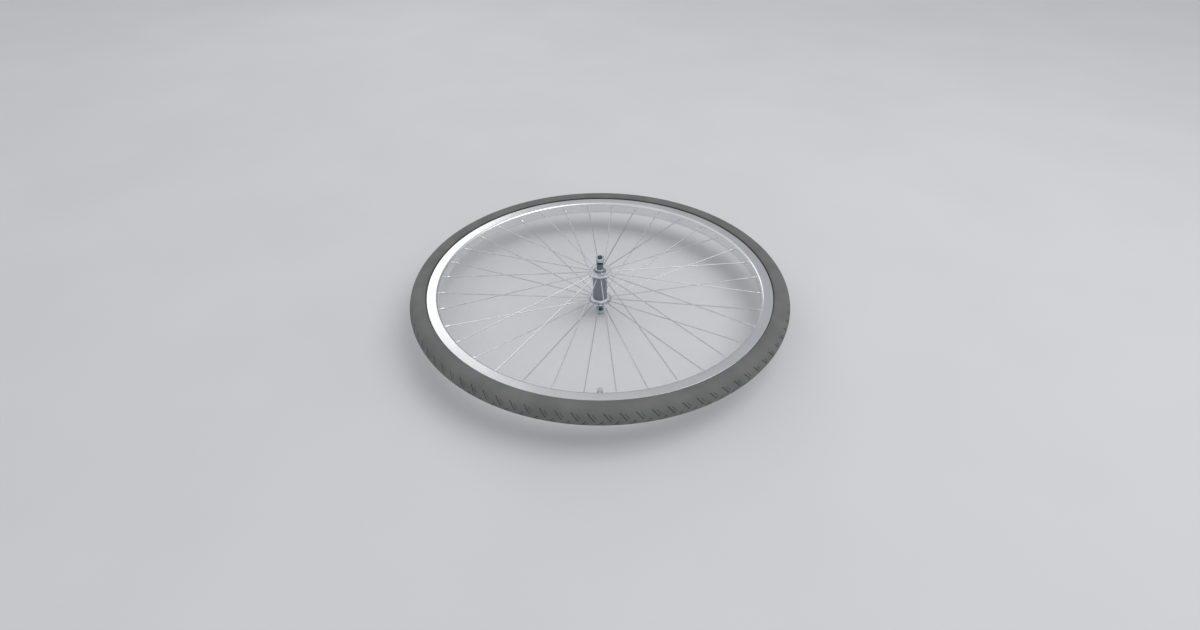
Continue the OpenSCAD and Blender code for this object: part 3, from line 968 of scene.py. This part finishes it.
def both_sides(bm):
    """Adds the same shape under the middle plane."""
    made = bmesh.ops.duplicate(bm, geom=bm.verts[:] + bm.edges[:] + bm.faces[:])["geom"]
    verts = [item for item in made if isinstance(item, bmesh.types.BMVert)]
    bmesh.ops.rotate(bm, verts=verts, cent=(0, 0, 0), matrix=Matrix.Rotation(pi, 3, "X"))


def washers_mesh():
    bm = bmesh.new()
    outline(bm, [
        (BORE_R, washer_low), (5.6, washer_low), (7.7, washer_low), (WASHER_R, washer_low + 0.35),
        (WASHER_R, washer_high, 0.25), (BORE_R, washer_high)])
    teeth = 60
    turn(bm, 2 * teeth)
    for vert in bm.verts:
        tooth = round(atan2(vert.co.y, vert.co.x) / tau * 2 * teeth) % 2
        if vert.co.z < (washer_low + 0.01) * MM and vert.co.xy.length > 5.7 * MM:
            vert.co.z += 0.25 * MM * tooth
    both_sides(bm)
    return finished_mesh(bm, "serrated_washers", sharp=14)


add_piece(washers_mesh(), zinc, "axle", "zinc_steel", "nut_washers")


def axle_nuts_mesh():
    upper = hex_nut_mesh("axle_nut", AXLE_NUT_AF, BORE_R, washer_high, nut_high)
    bm = bmesh.new()
    bm.from_mesh(upper)
    both_sides(bm)
    bpy.data.meshes.remove(upper)
    return finished_mesh(bm, "hex_axle_nuts", sharp=18)


add_piece(axle_nuts_mesh(), zinc, "axle", "zinc_steel", "axle_nuts")

# %% [markdown]
# ## Cones and dust caps
# A cone screws on the axle from outside, and its curved race runs on the balls. Two flats at its outer end take
# a thin spanner. The dust cap is a pressed disc round it, with a rolled lip that nearly touches the cone.

# %% Cones
BALL_R = 2.38
BALL_CIRCLE_R = 8.6
CONE_R = 7.5
CONE_FLATS = 6.5
DUST_CAP_T = 0.7
DUST_GAP = 0.5
ball_z = (top("balls_top") + floor_of("balls_top")) / 2
cone_low = floor_of("cone_top")


def cone_mesh():
    race_r = BALL_R + 0.05
    neck_r = BALL_CIRCLE_R - race_r - 0.07
    race_low = -sqrt(race_r ** 2 - (BALL_CIRCLE_R - neck_r) ** 2) if BALL_CIRCLE_R - neck_r < race_r else 0
    race_high = sqrt(race_r ** 2 - (BALL_CIRCLE_R - CONE_R) ** 2)
    bm = bmesh.new()
    race = [(BALL_CIRCLE_R - sqrt(race_r ** 2 - h ** 2), ball_z + h)
            for h in [race_low + (race_high - race_low) * k / 8 for k in range(9)]]
    outline(bm, [(BORE_R, cone_low), (neck_r, cone_low)] + race + [
        (CONE_R, cone_end_z - 2.7), (CONE_R, cone_end_z - 2.5), (CONE_R, cone_end_z - 0.25),
        (CONE_R - 0.25, cone_end_z), (BORE_R, cone_end_z)])
    turn(bm, 72)
    for vert in bm.verts:
        if vert.co.z > (cone_end_z - 2.6) * MM:
            vert.co.x = max(-CONE_FLATS * MM, min(CONE_FLATS * MM, vert.co.x))
    return finished_mesh(bm, "cone_upper")


cone = cone_mesh()
add_piece(lower_copy(cone, "cone_lower"), ground, "axle", "bearing_steel", "cone_bottom")
add_piece(cone, ground, "axle", "bearing_steel", "cone_top")


# %% Dust caps
def dust_cap_mesh():
    hole_r = CONE_R + DUST_GAP
    cap_top = top("dust_cap_top")
    bm = bmesh.new()
    outline(bm, [
        (CUP_R - 0.02, cap_seat_z), (CUP_R - 0.02, cap_seat_z + DUST_CAP_T, 0.2),
        (hole_r + 1.1, cap_seat_z + DUST_CAP_T, 0.3),
        (hole_r + 0.6, cap_top - 0.2, 0.1), (hole_r + 0.3, cap_top), (hole_r, cap_top - 0.2, 0.1),
        (hole_r, cap_seat_z)])
    turn(bm, 96)
    return finished_mesh(bm, "dust_cap_upper")


dust_cap = dust_cap_mesh()
add_piece(lower_copy(dust_cap, "dust_cap_lower"), pressed, "wheel", "zinc_steel", "dust_cap_bottom")
add_piece(dust_cap, pressed, "wheel", "zinc_steel", "dust_cap_top")

# %% [markdown]
# ## Valve
# The valve's stem comes through the rim towards the hub. Its thread shows between the knurled ring nut at the rim
# and the ribbed cap at its end. Each of the three is made upright about the Z axis and then laid down along the
# valve's direction.

# %% Valve
STEM_R = 3.9
NUT_R = 6.5
CAP_R = 4.8
KNURLS = 24
valve_place = Matrix.Rotation(VALVE_ANGLE, 4, "Z") @ Matrix.Rotation(pi / 2, 4, "Y")
stem_end = -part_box("valve_stem")[1].y / MM
stem_root = -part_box("valve_stem")[0].y / MM
cap_tip = -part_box("valve_cap")[1].y / MM
cap_root = -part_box("valve_cap")[0].y / MM
nut_low = -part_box("valve_nut")[1].y / MM
nut_top = -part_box("valve_nut")[0].y / MM


def knurl(bm, radius, depth):
    """Pulls in every second column of a turned side, to leave upright ribs."""
    for vert in bm.verts:
        column = round(atan2(vert.co.y, vert.co.x) / tau * 2 * KNURLS) % 2
        if column and vert.co.xy.length > (radius - 0.1) * MM:
            scale = (radius - depth) * MM / vert.co.xy.length
            vert.co.xy = vert.co.xy * scale


def valve_stem_mesh():
    bm = bmesh.new()
    foot = stem_root - 1.3
    ends = thread(bm, STEM_R, 0.8, 0.45, stem_end + 0.4, foot - 4)
    bore = []
    for side, cut, height in ((-1, ends[0], stem_end + 0.4), (1, ends[1], foot - 4)):
        edges = ring(bm, STEM_R - 0.45, height, 28)
        bmesh.ops.bridge_loops(bm, edges=cut + edges)
        if side == -1:
            edges = extend(bm, edges, (0, 0, -0.4), 0.95, (0, 0, stem_end))
        else:
            edges = extend(bm, edges, (0, 0, 4))
            edges = extend(bm, edges, size=4.3 / (STEM_R - 0.45), centre=(0, 0, foot))
            edges = extend(bm, edges, (0, 0, 1.2))
        centre = (0, 0, stem_end if side == -1 else foot + 1.2)
        width = (STEM_R - 0.45) * 0.95 if side == -1 else 4.3
        bore += extend(bm, edges, size=2.5 / width, centre=centre)
    bmesh.ops.bridge_loops(bm, edges=bore)
    bm.transform(valve_place)
    return finished_mesh(bm, "valve_tube")


def valve_nut_mesh():
    bm = bmesh.new()
    outline(bm, [
        (STEM_R + 0.02, nut_low), (NUT_R - 0.4, nut_low), (NUT_R, nut_low + 0.4), (NUT_R, nut_top - 0.4),
        (NUT_R - 0.4, nut_top),
        (STEM_R + 0.02, nut_top)])
    turn(bm, 2 * KNURLS)
    knurl(bm, NUT_R, 0.35)
    bm.transform(valve_place)
    return finished_mesh(bm, "valve_ring_nut")


def valve_cap_mesh():
    bm = bmesh.new()
    outline(bm, [
        (0, cap_tip), (3.6, cap_tip, 0.4), (CAP_R, cap_tip + 1.2, 0.3), (CAP_R, cap_root - 0.8), (4.4, cap_root - 0.7),
        (4.4, cap_root), (STEM_R + 0.02, cap_root), (STEM_R + 0.02, cap_tip + 1.2), (0, cap_tip + 1.2)],
        closed=False)
    turn(bm, 2 * KNURLS)
    knurl(bm, CAP_R, 0.3)
    bm.transform(valve_place)
    return finished_mesh(bm, "valve_dust_cap")


add_piece(valve_stem_mesh(), brass, "wheel", "valve_brass", "valve_stem")
add_piece(valve_nut_mesh(), nickel, "wheel", "nipple_metal", "valve_nut")
add_piece(valve_cap_mesh(), plastic, "wheel", "cap_plastic", "valve_cap")

# %% [markdown]
# ## The pieces inside
# The bearing cups, the balls, the inner tube and the rim tape are hidden in the finished wheel, and their shapes in
# the frame are already right. They stay as they are and only get a finish.

# %% Finishes for the pieces inside
inside = {
    "cup_top": ground, "cup_bottom": ground, "balls_top": ground, "balls_bottom": ground,
    "inner_tube": make_tube_rubber(), "rim_tape": make_tape_cloth()}
for node, material in inside.items():
    for material_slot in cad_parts[node].material_slots:
        material_slot.material = material
print("kept from the frame:", sorted(inside))

# %% [markdown]
# ## Floor
# A plain pale floor lies under the lower end of the axle. It is far larger than the wheel, so its edge never
# shows.

# %% Floor
floor_mesh = bpy.data.meshes.new("studio_floor")
floor_bm = bmesh.new()
bmesh.ops.create_grid(floor_bm, x_segments=1, y_segments=1, size=30)
bmesh.ops.translate(floor_bm, verts=floor_bm.verts, vec=(0, 0, cad_box[0].z))
floor_bm.to_mesh(floor_mesh)
floor_bm.free()
studio_floor = bpy.data.objects.new("studio_floor", floor_mesh)
bpy.context.scene.collection.objects.link(studio_floor)
pale, _ = shader("pale_floor", 0.0, 0.7, specular=0.2)
two_tone(pale, noise(pale, 3, 2), (0.70, 0.705, 0.71), (0.72, 0.725, 0.73))
floor_mesh.materials.append(pale)
